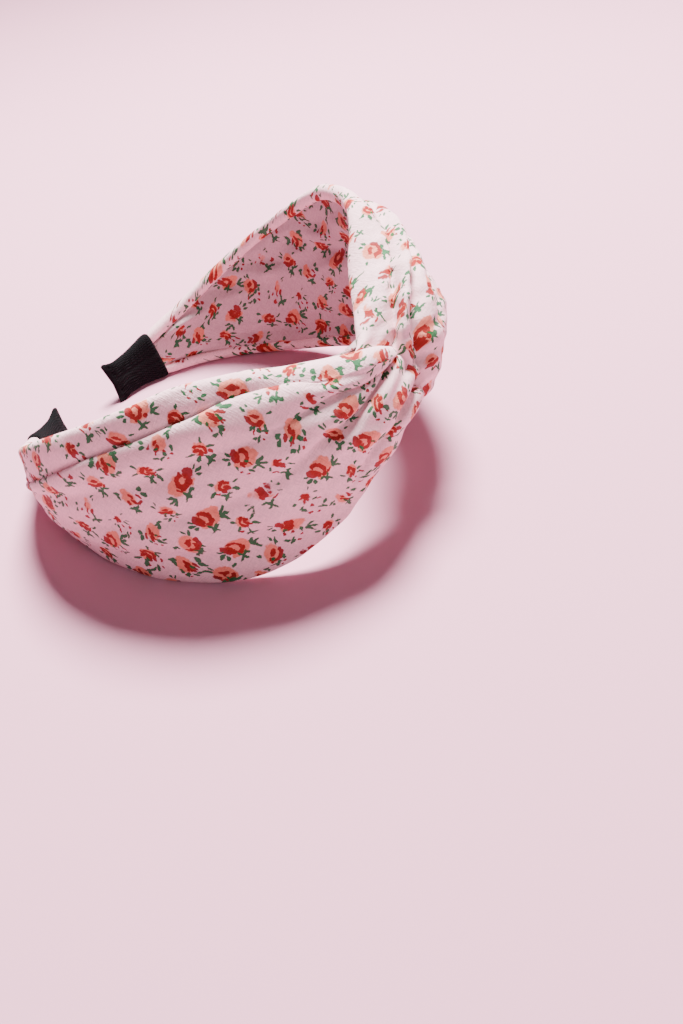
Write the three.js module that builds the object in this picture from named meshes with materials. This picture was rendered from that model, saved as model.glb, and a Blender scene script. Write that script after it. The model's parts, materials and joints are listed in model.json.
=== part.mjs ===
import * as THREE from 'three';

// Knotted headband, millimetres.
// A thin plastic hoop runs from tip to tip. A wide printed fabric wrap over a sponge pad covers each
// arm, and at the crown the two wraps hook round each other in a knot. The knot draws the right wrap
// towards the upper rim and the left wrap towards the lower rim, so half a turn about the knot's
// middle takes one arm to the other. A printed lining closes the inside, and a black sleeve covers
// each tip.
//
// The band is drawn with its hoop level and is then laid down as it rests on a table: on the lower
// rims of both arms and on the right tip. +X points from the open tips to the knot, +Y to the right
// arm, +Z up.
//
// Places on the band have three coordinates: along, the signed distance from the crown's middle on
// the hoop's inner face (+ to the right arm); out, the distance outwards from that face; across,
// the distance from the hoop's middle line (+ towards the upper rim). Sections list [out, across].

// The hoop: a crown arc, then arms of a tighter radius
const crownRadius = 66;
const crownArc = THREE.MathUtils.degToRad(103);
const armRadius = 60;
const halfLength = 190;
const hoopThickness = 1.8;
const crownHoopHalfWidth = 9;
const tipHoopHalfWidth = 4.2;
const hoopEnd = 187;

// The lines where the arms flex on the crown. Everything outside the hoop leans back from them, so
// that an arm can open.
const flexAlong = 24;
const flexOut = hoopThickness / 2;
const flexHalfGap = 0.9;
const flexLean = Math.tan(THREE.MathUtils.degToRad(7));
const flexEnd = flexAlong + flexHalfGap;

// Fabric
const clearance = 0.35;
const clothThickness = 1;
const liningOut = -1.7;
const lipLength = 7;
const wrapEnd = 165;
const padEnd = 150;
const crownLiningHalfWidth = 9.8;
const stationSpacing = 7;
const crestShares = [0.8, 0.6, 0.4, 0.2, 0.02];

// Tip sleeves
const sleeveStart = wrapEnd + clearance;
const sleeveHalfThickness = 2.5;
const sleeveSeamHalfThickness = 1.1;
const pocketEnd = hoopEnd + clearance;
const pocketSideRoom = 1.1;
const sleeveSides = 18;

// The knot
const knotSlant = 0.85;
const knotRows = 6;
const knotHollowDepth = 7;
const knotHollowRadius = 6;
const tackLength = 8;
const tackRadius = 0.7;

const restFlatDepth = 0.7;

// Monotone cubic through [position, value] points
function profile(points) {
  const slope = (i) => (points[i + 1][1] - points[i][1]) / (points[i + 1][0] - points[i][0]);
  const last = points.length - 2;
  const tangents = points.map((point, i) => {
    const before = slope(Math.max(i - 1, 0));
    const after = slope(Math.min(i, last));
    return before * after <= 0 ? 0 : 2 * before * after / (before + after);
  });
  return (position) => {
    const next = points.findIndex(([at]) => at > position);
    const i = next < 0 ? last : Math.max(next - 1, 0);
    const [from, low] = points[i];
    const [to, high] = points[i + 1];
    const length = to - from;
    const t = THREE.MathUtils.clamp((position - from) / length, 0, 1);
    return low * (1 + 2 * t) * (1 - t) ** 2 + high * (3 - 2 * t) * t ** 2
      + length * (tangents[i] * t * (1 - t) ** 2 - tangents[i + 1] * (1 - t) * t ** 2);
  };
}

// Sizes by distance from the crown's middle. The full rim is the one that the knot draws a wrap to.
const fullRimReach = profile([[0, 15], [28, 27], [66, 39], [105, 30], [148, 14.5], [wrapEnd, 8.8]]);
const slimRimReach = profile([[0, 15], [28, 15.5], [66, 26], [105, 23.5], [148, 14], [wrapEnd, 8.8]]);
const bandThickness = profile([[0, 14], [22, 16], [42, 14.5], [66, 11], [105, 8.5], [148, 5.2], [wrapEnd, 3.6]]);
const rimThickness = profile([[0, 8.5], [28, 8], [66, 5.4], [105, 5], [148, 4.8], [wrapEnd, 4.6]]);
const sleeveHalfWidth = profile([[wrapEnd, 7.9], [178, 7], [halfLength, 8.2]]);
const sleeveThickness = profile([
  [wrapEnd, sleeveHalfThickness], [pocketEnd, sleeveHalfThickness - 0.2], [halfLength, sleeveSeamHalfThickness]]);
const hoopHalfWidth = (distance) => THREE.MathUtils.lerp(
  crownHoopHalfWidth, tipHoopHalfWidth, THREE.MathUtils.smoothstep(distance, 0, halfLength));

const spread = (from, to, steps) => Array.from(
  { length: steps + 1 }, (_, i) => THREE.MathUtils.lerp(from, to, i / steps));

function place(along, out, across) {
  const distance = Math.abs(along);
  const crownAngle = Math.min(distance / crownRadius, crownArc);
  const angle = crownAngle + Math.max(distance - crownRadius * crownArc, 0) / armRadius;
  const x = crownRadius * (Math.cos(crownAngle) - 1)
    + armRadius * (Math.cos(angle) - Math.cos(crownAngle)) + out * Math.cos(angle);
  const y = crownRadius * Math.sin(crownAngle)
    + armRadius * (Math.sin(angle) - Math.sin(crownAngle)) + out * Math.sin(angle);
  return new THREE.Vector3(x, along < 0 ? -y : y, across);
}

// A closed body through rings of points, with an end cap cut out as the end section's flat outline
function loft(rings, firstSection, lastSection) {
  const count = rings[0].length;
  const triangles = [];
  for (let ring = 0; ring < rings.length - 1; ring += 1) {
    for (let i = 0; i < count; i += 1) {
      const a = ring * count + i;
      const b = ring * count + (i + 1) % count;
      triangles.push([a, b, a + count], [b, b + count, a + count]);
    }
  }
  const cap = (section, start, isFirst) => {
    const outline = section.map(([out, across]) => new THREE.Vector2(out, across));
    const inOrder = THREE.ShapeUtils.isClockWise(outline) === isFirst;
    THREE.ShapeUtils.triangulateShape(outline, []).forEach(([a, b, c]) => {
      triangles.push(inOrder ? [start + a, start + b, start + c] : [start + a, start + c, start + b]);
    });
  };
  cap(firstSection, 0, true);
  cap(lastSection, (rings.length - 1) * count, false);
  return closedGeometry(rings.flat(), triangles);
}

// Turns every face outwards, which shows in the sign of the volume they enclose
function closedGeometry(points, triangles) {
  const volume = triangles.reduce(
    (sum, [a, b, c]) => sum + points[a].dot(points[b].clone().cross(points[c])), 0);
  const outward = volume > 0 ? triangles : triangles.map(([a, b, c]) => [a, c, b]);
  const geometry = new THREE.BufferGeometry().setFromPoints(points);
  geometry.setIndex(outward.flat());
  geometry.computeVertexNormals();
  return geometry;
}

// A whole section from a function that gives the half with a given reach, measured from the middle
function bothHalves(half, along) {
  const distance = Math.abs(along);
  const [upper, lower] = along < 0 ? [slimRimReach, fullRimReach] : [fullRimReach, slimRimReach];
  const lowerHalf = half(distance, lower(distance)).map(([out, across]) => [out, -across]);
  return [...half(distance, upper(distance)), ...lowerHalf.reverse()];
}

const slab = (inner, outer, upper, lower) => [
  [inner, upper], [inner, -lower], [outer, -lower], [outer, upper]];

// Half the band's outline, round the rolled rim and up to the crest, moved inwards by inset
function outline(distance, reach, inset) {
  const radius = rimThickness(distance) / 2;
  const rimAcross = reach - radius;
  const rim = spread(-Math.PI / 2, Math.PI / 2, 5).map((turn) => [
    liningOut + radius + (radius - inset) * Math.sin(turn), rimAcross + (radius - inset) * Math.cos(turn)]);
  const crest = bandThickness(distance) - inset;
  const shoulder = liningOut + 2 * radius - inset;
  const crown = crestShares.map((share) => [
    THREE.MathUtils.lerp(crest, shoulder, share ** 2), rimAcross * share]);
  return [...rim, ...crown];
}

const lipEdge = (reach) => reach - Math.min(lipLength, 0.45 * reach);

// The wrap: cloth from one inner lip, round the rolled rims, to the other lip
function wrapSection(along) {
  const skin = (inset) => (distance, reach) => [
    [liningOut + inset, lipEdge(reach)], ...outline(distance, reach, inset)];
  return [...bothHalves(skin(0), along), ...bothHalves(skin(clothThickness), along).reverse()];
}

// The pad: fills the wrap, with a channel for the hoop
function padSection(along) {
  const inset = clothThickness + clearance;
  return bothHalves((distance, reach) => {
    const channel = hoopHalfWidth(distance) + clearance;
    const edge = [[hoopThickness + clearance, channel], [liningOut + inset, channel]];
    return [...edge, ...outline(distance, reach, inset)];
  }, along);
}

function hoopSection(along) {
  const halfWidth = hoopHalfWidth(Math.abs(along));
  return slab(0, hoopThickness, halfWidth, halfWidth);
}

const liningSection = (along) => bothHalves((distance, reach) => {
  const edge = lipEdge(reach) - clearance;
  return [[liningOut + clothThickness, edge], [liningOut, edge]];
}, along);

// Lofts a section along one arm
function armLoft(side, from, to, section) {
  const inner = spread(0, halfLength, Math.round(halfLength / stationSpacing))
    .filter((distance) => distance > from + 1 && distance < to - 1);
  const distances = [from, ...inner, to];
  const rings = distances.map((distance) => {
    const nearFlex = from === flexEnd ? Math.max(1 - (distance - from) / flexAlong, 0) : 0;
    return section(side * distance).map(([out, across]) => place(
      side * (distance + nearFlex * flexLean * (out - flexOut)), out, across));
  });
  return loft(rings, section(side * from), section(side * to));
}

// Lofts a fixed section across the crown, from one flexing line to the other
function crownLoft(section) {
  const reach = flexAlong - flexHalfGap;
  const rings = spread(-reach, reach, 8).map(
    (along) => section.map(([out, across]) => place(along, out, across)));
  return loft(rings, section, section);
}

// A sleeve: a flat pouch over the hoop's tip, open towards the arm, with a thin flared end seam
function sleeveGeometry(side) {
  const turns = spread(-1 / sleeveSides, 2 - 1 / sleeveSides, sleeveSides).slice(1);
  const rounded = (value, power) => Math.sign(value) * Math.abs(value) ** power;
  const oval = (halfWidth, halfThickness) => turns.map((turn) => [
    hoopThickness / 2 + halfThickness * rounded(Math.cos(Math.PI * turn), 0.5),
    halfWidth * rounded(Math.sin(Math.PI * turn), 0.6)]);
  const outside = (distance) => oval(sleeveHalfWidth(distance), sleeveThickness(distance));
  const pocket = (distance) => oval(
    hoopHalfWidth(distance) + pocketSideRoom, hoopThickness / 2 + clearance);
  const ring = (section, distance) => section(distance).map(
    ([out, across]) => place(side * distance, out, across));
  const rings = [
    ...spread(halfLength, sleeveStart, 6).map((distance) => ring(outside, distance)),
    ...spread(sleeveStart, pocketEnd, 3).map((distance) => ring(pocket, distance)),
  ];
  return loft(rings, outside(halfLength), pocket(pocketEnd));
}

// One hook of the knot: a fold from the flexing line to the slanted face where it meets the other
// hook, with a channel for the hoop and a hollow where the two hooks pinch
function hookGeometry(side) {
  const channel = crownLiningHalfWidth + clearance;
  const ceiling = spread(0.02, 1, 4).map((share) => [hoopThickness + clearance, channel * share]);
  const section = (along) => bothHalves((distance, reach) => [
    ...ceiling, [liningOut, channel], ...outline(distance, reach, 0)], along);
  const pointAt = (row, index) => {
    let along = side;
    let [out, across] = section(along)[index];
    for (let pass = 0; pass < 5; pass += 1) {
      const flexFace = side * (flexAlong - flexHalfGap - flexLean * (out - flexOut));
      const meetingFace = side * clearance - knotSlant * across;
      along = THREE.MathUtils.lerp(flexFace, meetingFace, row);
      [out, across] = section(along)[index];
    }
    const hollow = Math.exp(-(along ** 2 + across ** 2) / knotHollowRadius ** 2);
    const isOutside = out > hoopThickness + clearance;
    return place(along, out - (isOutside ? knotHollowDepth * hollow : 0), across);
  };
  const indices = section(side).map((_, index) => index);
  const rings = spread(0, 1, knotRows).map((row) => indices.map((index) => pointAt(row, index)));
  return loft(rings, section(side * flexAlong), section(side));
}

// The tack: a short bar of thread on the lining that holds the knot to the hoop
function tackGeometry() {
  const geometry = new THREE.CapsuleGeometry(tackRadius, tackLength - 2 * tackRadius, 4, 10);
  geometry.rotateX(Math.PI / 2);
  geometry.translate(liningOut - clearance - tackRadius, 0, 0);
  return geometry;
}

function cloth(color) {
  return new THREE.MeshStandardMaterial({ color, roughness: 0.85, metalness: 0 });
}

const printedPink = cloth(0xf0d3da);
const paleLining = cloth(0xe3c3cb);
const sponge = cloth(0xf4efe6);
const blackKnit = cloth(0x17161a);
const thread = cloth(0xe9c8d0);
const clearPlastic = new THREE.MeshStandardMaterial({ color: 0xe8e6e2, roughness: 0.4, metalness: 0 });

const headband = new THREE.Group();

function addPiece(name, geometry, material) {
  const mesh = new THREE.Mesh(geometry, material);
  mesh.name = name;
  headband.add(mesh);
}

const crownSlab = (inner, outer, halfWidth) => crownLoft(slab(inner, outer, halfWidth, halfWidth));
addPiece('hoop_crown', crownSlab(0, hoopThickness, crownHoopHalfWidth), clearPlastic);
addPiece('lining_crown', crownSlab(liningOut, liningOut + clothThickness, crownLiningHalfWidth), paleLining);
addPiece('knot_tack_thread', tackGeometry(), thread);

[['left', -1], ['right', 1]].forEach(([name, side]) => {
  addPiece(`knot_hook_${name}`, hookGeometry(side), printedPink);
  addPiece(`hoop_arm_${name}`, armLoft(side, flexEnd, hoopEnd, hoopSection), clearPlastic);
  addPiece(`sponge_pad_${name}`, armLoft(side, flexEnd, padEnd, padSection), sponge);
  addPiece(`fabric_wrap_${name}`, armLoft(side, flexEnd, wrapEnd, wrapSection), printedPink);
  addPiece(`lining_${name}`, armLoft(side, flexEnd, wrapEnd, liningSection), paleLining);
  addPiece(`tip_sleeve_${name}`, sleeveGeometry(side), blackKnit);
});

// The lowest corner of a piece for a given up direction
function lowestCorner(name, up) {
  const { position } = headband.getObjectByName(name).geometry.attributes;
  const corner = new THREE.Vector3();
  let lowest = new THREE.Vector3().fromBufferAttribute(position, 0);
  for (let i = 1; i < position.count; i += 1) {
    corner.fromBufferAttribute(position, i);
    if (corner.dot(up) < lowest.dot(up)) {
      lowest = corner.clone();
    }
  }
  return lowest;
}

// The up direction when the band rests on both arms' lower rims and on its right tip
function restingUp() {
  const restsOn = ['fabric_wrap_left', 'fabric_wrap_right', 'tip_sleeve_right'];
  const table = new THREE.Plane(new THREE.Vector3(0, 0, 1));
  for (let pass = 0; pass < 12; pass += 1) {
    const corners = restsOn.map((name) => lowestCorner(name, table.normal));
    table.setFromCoplanarPoints(...corners);
    if (table.normal.z < 0) {
      table.negate();
    }
  }
  return table.normal;
}

// Lays the band on z = 0 with its middle over the origin, and flattens what bears on the table
function layOnTable() {
  const turn = new THREE.Quaternion().setFromUnitVectors(restingUp(), new THREE.Vector3(0, 0, 1));
  headband.children.forEach(({ geometry }) => geometry.applyQuaternion(turn));
  const box = new THREE.Box3().setFromObject(headband);
  const floor = box.min.z + restFlatDepth;
  const middle = box.getCenter(new THREE.Vector3());
  headband.children.forEach(({ geometry }) => {
    const { position } = geometry.attributes;
    for (let i = 0; i < position.count; i += 1) {
      position.setZ(i, Math.max(position.getZ(i), floor));
    }
    geometry.translate(-middle.x, -middle.y, -floor);
  });
}

layOnTable();

export default headband;
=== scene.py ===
"""Knotted headband: printed pleated cloth over a padded hoop, laid on a pale floor.

Sizes are in millimetres until a mesh is made. Places on the band use the same three coordinates as the
CAD part: along (distance from the crown's middle, + to the right arm), across (+ to the upper rim) and
out (from the hoop's inner face). A cloth's own lines use (distance, across, out), where distance grows
from the knot towards that cloth's own tip.
"""

import json
import math
from collections import namedtuple

import bmesh
import bpy
import numpy as np
from mathutils import Matrix, Vector


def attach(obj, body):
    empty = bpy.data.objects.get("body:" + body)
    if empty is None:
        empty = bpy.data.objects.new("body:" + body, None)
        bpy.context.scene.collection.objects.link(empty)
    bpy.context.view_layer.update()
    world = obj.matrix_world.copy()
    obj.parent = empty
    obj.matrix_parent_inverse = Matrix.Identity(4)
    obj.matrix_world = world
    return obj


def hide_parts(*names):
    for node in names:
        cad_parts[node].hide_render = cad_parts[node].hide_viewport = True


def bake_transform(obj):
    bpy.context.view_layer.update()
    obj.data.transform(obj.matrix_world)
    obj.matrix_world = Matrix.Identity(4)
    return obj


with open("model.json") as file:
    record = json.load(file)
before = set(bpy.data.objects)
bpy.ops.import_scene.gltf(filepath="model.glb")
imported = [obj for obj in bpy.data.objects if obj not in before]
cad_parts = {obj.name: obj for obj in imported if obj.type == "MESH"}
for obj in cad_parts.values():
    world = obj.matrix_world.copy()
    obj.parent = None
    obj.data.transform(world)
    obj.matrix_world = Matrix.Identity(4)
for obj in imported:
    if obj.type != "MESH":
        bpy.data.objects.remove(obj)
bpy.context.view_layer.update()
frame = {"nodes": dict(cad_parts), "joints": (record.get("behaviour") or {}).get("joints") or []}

MM = 0.001

# ------------ driving dimensions, as in the CAD part

CROWN_RADIUS = 66.0
CROWN_ARC = math.radians(103)
ARM_RADIUS = 60.0
HALF_LENGTH = 190.0
HOOP_THICKNESS = 1.8
HOOP_HALF_WIDTH = 9.0
HOOP_TIP_HALF_WIDTH = 4.2
FLEX_ALONG = 24.0
FLEX_OUT = HOOP_THICKNESS / 2
LINING_OUT = -1.7
WRAP_END = 169.0
PAD_END = 150.0
ARM_START = 66.0
PAD_START = 34.0
SLEEVE_MOUTH = 167.2

# Along an arm, as [distance, value]: how far its full and its slim rim reach from the middle, how far its
# outer face stands out, and how thick its rims' rolls are
FULL_RIM = [[0, 15], [28, 27], [66, 39], [105, 30], [148, 14.5], [165, 8.8]]
SLIM_RIM = [[0, 15], [28, 15.5], [66, 26], [105, 23.5], [148, 14], [165, 8.8]]
BAND_THICKNESS = [[0, 14], [22, 16], [42, 14.5], [66, 11], [105, 8.5], [148, 5.2], [165, 3.6]]
RIM_THICKNESS = [[0, 8.5], [28, 8], [66, 5.4], [105, 5], [148, 4.8], [165, 4.6]]


def tangents(knots, values):
    """Finite-difference tangents of a cubic through values (n, k) at knots."""
    steps = np.diff(knots)[:, None]
    slopes = np.diff(values, axis=0) / steps
    inner = (slopes[:-1] * steps[1:] + slopes[1:] * steps[:-1]) / (steps[1:] + steps[:-1])
    return np.vstack([slopes[:1], inner, slopes[-1:]])


def cubic(knots, values, slopes, at):
    """Hermite cubic through values (n, k) at knots, for each place in at."""
    at = np.clip(at, knots[0], knots[-1])
    i = np.clip(np.searchsorted(knots, at, side="right") - 1, 0, len(knots) - 2)
    step = (knots[i + 1] - knots[i])[:, None]
    t = (at - knots[i])[:, None] / step
    low, high = values[i], values[i + 1]
    bend = slopes[i] * t * (1 - t) ** 2 - slopes[i + 1] * (1 - t) * t**2
    return low * (1 + 2 * t) * (1 - t) ** 2 + high * (3 - 2 * t) * t**2 + step * bend


def profile(points, at):
    """A monotone cubic through [position, value] points."""
    points = np.array(points, float)
    knots, values = points[:, 0], points[:, 1:]
    slopes = np.diff(values, axis=0) / np.diff(knots)[:, None]
    slopes = np.vstack([slopes[:1], slopes, slopes[-1:]])
    before, after = slopes[:-1], slopes[1:]
    mean = np.where(before * after > 0, 2 * before * after / np.where(before + after, before + after, 1), 0)
    return cubic(knots, values, mean, np.atleast_1d(np.asarray(at, float)))[:, 0]


# ------------ the band's own frame, from its hinges

def curve_point(along, out):
    """x and y on the hoop's plane for a place on the band."""
    distance = np.abs(along)
    crown = np.minimum(distance / CROWN_RADIUS, CROWN_ARC)
    angle = crown + np.maximum(distance - CROWN_RADIUS * CROWN_ARC, 0) / ARM_RADIUS
    x = CROWN_RADIUS * (np.cos(crown) - 1) + ARM_RADIUS * (np.cos(angle) - np.cos(crown))
    y = CROWN_RADIUS * np.sin(crown) + ARM_RADIUS * (np.sin(angle) - np.sin(crown))
    x, y = x + out * np.cos(angle), y + out * np.sin(angle)
    return x, np.where(along < 0, -y, y)


def band_axes():
    """Origin and axes of the hoop's plane in the row frame, in metres."""
    joints = {joint["name"]: joint for joint in frame["joints"]}
    left, right = (np.array(joints[name]["pos_m"]) for name in ("left_arm_flex", "right_arm_flex"))
    up = np.array(joints["left_arm_flex"]["axis"])
    up /= np.linalg.norm(up)
    across = right - left
    across -= up * (across @ up)
    across /= np.linalg.norm(across)
    forward = np.cross(across, up)
    hinge_x, _ = curve_point(FLEX_ALONG, FLEX_OUT)
    middle = (right + left) / 2 - forward * float(hinge_x) * MM
    return middle, np.stack([forward, across, up])


ORIGIN, AXES = band_axes()


def to_row(points):
    """Points in the hoop's frame, millimetres, to the row frame, metres."""
    return ORIGIN + (np.asarray(points, float) * MM) @ AXES


def place(along, across, out):
    """Places on the band to the row frame, metres."""
    along, across, out = np.broadcast_arrays(*(np.asarray(value, float) for value in (along, across, out)))
    x, y = curve_point(along, out)
    return to_row(np.stack([x, y, across], axis=-1))


# ------------ cloth as pleats between lines

# Rows of every cloth grid, closer together in the knot, and the places that set an arm's outline
ROWS = np.concatenate([
    np.arange(0, 40, 0.6),
    np.arange(40, ARM_START, 1.0),
    np.arange(ARM_START, WRAP_END, 1.5),
    [WRAP_END]])
ARM_STATIONS = np.array([ARM_START, 78, 92, 108, 125, 140, 153, WRAP_END])

# Turns round a rim's roll: the cloth's hidden lip, the roll's inner side and its outer side
LIP, INNER, OUTER = -0.19, 0, 0.5


class Arm:
    """The plain arm of one side: its outline in (across, out) at a distance from the knot."""

    def __init__(self, side):
        self.side = side
        self.upper, self.lower = (SLIM_RIM, FULL_RIM) if side < 0 else (FULL_RIM, SLIM_RIM)

    def radius(self, distance):
        return profile(RIM_THICKNESS, distance) / 2

    def reach(self, distance, sign):
        return profile(self.upper if sign > 0 else self.lower, distance)

    def face(self, distance, share):
        """A place on the outer face, at a signed share of the way from the middle to a rim."""
        share = np.broadcast_to(share, np.shape(distance))
        sign = 1 if share[0] >= 0 else -1
        radius = self.radius(distance)
        half = self.reach(distance, sign) - radius
        crest = profile(BAND_THICKNESS, distance)
        shoulder = LINING_OUT + 2 * radius
        return np.stack([share * half, crest + (shoulder - crest) * share**2], axis=-1)

    def rim(self, distance, sign, turn):
        """A place on a rim's roll: turn 0 is its inner side, half a turn its outer side."""
        radius = self.radius(distance)
        angle = turn * math.tau
        return np.stack([
            sign * (self.reach(distance, sign) - radius + radius * math.sin(angle)),
            LINING_OUT + radius - radius * math.cos(angle)], axis=-1)


def arc_lengths(points, axis):
    """Distances from the start of rows or columns of places."""
    steps = np.linalg.norm(np.diff(points, axis=axis), axis=-1)
    return np.insert(np.cumsum(steps, axis=axis), 0, 0, axis=axis)


def line(knot_points, arm_points):
    """A cloth line's (distance, across, out) at each row: given point by point from the knot to the arm,
    then by the arm's outline."""
    knot_points = np.array(knot_points, float)
    arm_values = np.column_stack([ARM_STATIONS, arm_points])
    lengths = arc_lengths(np.vstack([knot_points, arm_values[:1]]), 0)
    knots = np.concatenate([lengths / lengths[-1] * ARM_START, ARM_STATIONS[1:]])
    values = np.vstack([knot_points, arm_values])
    return cubic(knots, values, tangents(knots, values), ROWS)


def unit(vectors):
    return vectors / np.maximum(np.linalg.norm(vectors, axis=-1, keepdims=True), 1e-9)


# The cloth between two lines: columns, height of its bulge, how round that is, how sharp its first edge is
Strip = namedtuple("Strip", "steps bulge roundness sharp", defaults=(0.5, 0.0))


def at_rows(value):
    """A value for each row, from a function of the rows or from one number."""
    return value(ROWS) if callable(value) else np.full(len(ROWS), float(value))


def cloth_points(lines, strips):
    """A grid of places, rows along the cloth and columns across it, and how sharp each is."""
    flow = [unit(np.gradient(each, axis=0)) for each in lines]
    columns, sharpness = [], []
    for k, strip in enumerate(strips):
        low, high = lines[k], lines[k + 1]
        shares = np.linspace(0, 1, strip.steps + 1)[: None if k == len(strips) - 1 else -1]
        chord = high - low
        outward = unit(np.cross(chord, unit(flow[k] + flow[k + 1])))
        bulge, power, sharp = at_rows(strip.bulge), at_rows(strip.roundness), at_rows(strip.sharp)
        for i, share in enumerate(shares):
            height = bulge * (4 * share * (1 - share) + 1e-9) ** power
            columns.append(low + chord * share + outward * height[:, None])
            sharpness.append(sharp if i == 0 else np.zeros(len(ROWS)))
    return np.stack(columns, axis=1), np.stack(sharpness, axis=1)


def soften(points, sharpness, passes):
    """Rounds the section everywhere but at its creases."""
    for _ in range(passes):
        middle = (points[:, :-2] + points[:, 2:]) / 2
        keep = sharpness[:, 1:-1, None]
        points[:, 1:-1] += (1 - keep) * 0.5 * (middle - points[:, 1:-1])
    return points


def normals(points):
    """Outward unit normals of a grid in (distance, across, out)."""
    return unit(np.cross(np.gradient(points, axis=1), np.gradient(points, axis=0)))


def waves(points, seed, count, length_range, stretch):
    """Smooth noise from -1 to 1 over (distance, across), longer along the band by stretch."""
    random = np.random.default_rng(seed)
    total = np.zeros(points.shape[:2])
    for _ in range(count):
        length = random.uniform(*length_range)
        tilt = random.normal(0, 0.25)
        phase = random.uniform(0, math.tau)
        across = points[..., 1] + tilt * points[..., 0]
        along = points[..., 0] / stretch
        angle = random.uniform(-1.0, 1.0)
        total += np.sin(math.tau * (across * math.cos(angle) + along * math.sin(angle)) / length + phase)
    return total / math.sqrt(count)


def fade(start, end, at):
    """0 before start and 1 after end, or the other way round if start is the larger."""
    t = np.clip((at - start) / (end - start), 0, 1)
    return t * t * (3 - 2 * t)


# How far a pleat stands up beyond the knot, as [distance, height]
PUFF_END = [[70, 1.8], [92, 1.4], [125, 0.7], [150, 0.1], [165, 0]]
# How much of a valley's depth is left along the arm
VALLEY_LEFT = [[66, 1], [92, 0.9], [125, 0.5], [150, 0.1], [165, 0]]
RIDGE_RISE = 0.45


def ramp(height, rise, fall):
    """A height that rises over one range of rows and falls again over another."""
    def height_at(rows):
        return height * fade(rise[0], rise[1], rows) * fade(fall[1], fall[0], rows)
    return height_at


def until(start, end, value=1.0):
    """A value that holds up to the start row and is gone at the end row."""
    def value_at(rows):
        return value * fade(end, start, rows)
    return value_at


# The long fold of each arm: the cloth's bulge above it and below it, and its creased edge
FOLD_TOP = ramp(0.9, (20, 50), (120, 160))
FOLD_UNDER = ramp(0.9, (30, 46), (130, 158))
FOLD_EDGE = ramp(0.9, (34, 46), (135, 156))


def lowered(places, depth):
    """Places (across, out) moved towards the hoop."""
    return places - np.stack([np.zeros(len(places)), depth], axis=-1)


def sunk(arm, share, start_depth):
    """A long soft valley in the outer face, which runs out before the tip."""
    return lowered(arm.face(ARM_STATIONS, share), start_depth * profile(VALLEY_LEFT, ARM_STATIONS))


def long_fold(arm, share, depth, lap):
    """The valley and the overlapping ridge of a fold along the arm, from three profiles."""
    share, depth, lap = (profile(points, ARM_STATIONS) for points in (share, depth, lap))
    fold = arm.face(ARM_STATIONS, share)
    return lowered(fold, depth), fold + np.stack([-arm.side * lap, RIDGE_RISE * lap], axis=-1)


def pleat(arm, steps, share_a, share_b, puff, sharp=0.0):
    """A strip of the outer face: a puffed pleat at the knot, and the face's own curve on the arm."""
    def bulge(rows):
        distance = np.maximum(rows, ARM_START)
        drop = profile(BAND_THICKNESS, distance) - (LINING_OUT + 2 * arm.radius(distance))
        plain = drop * (share_a - share_b) ** 2 / 4
        return plain * fade(20, ARM_START, rows) + profile(puff, rows)

    def roundness(rows):
        return 1 - 0.44 * fade(90, 40, rows)

    return Strip(steps, bulge, roundness, sharp)


def rim(arm, steps, knot_bulge, roundness=0.5):
    """The strip that rolls round a rim."""
    def bulge(rows):
        t = fade(25, ARM_START, rows)
        return knot_bulge * (1 - t) + arm.radius(np.maximum(rows, ARM_START)) * t
    return Strip(steps, bulge, roundness)


def upper_roll(rows):
    """How round the far wrap's upper rim is: fullest at the knot."""
    return 1 - 0.5 * fade(20, 60, rows) - 0.2 * fade(60, 20, rows)


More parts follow.
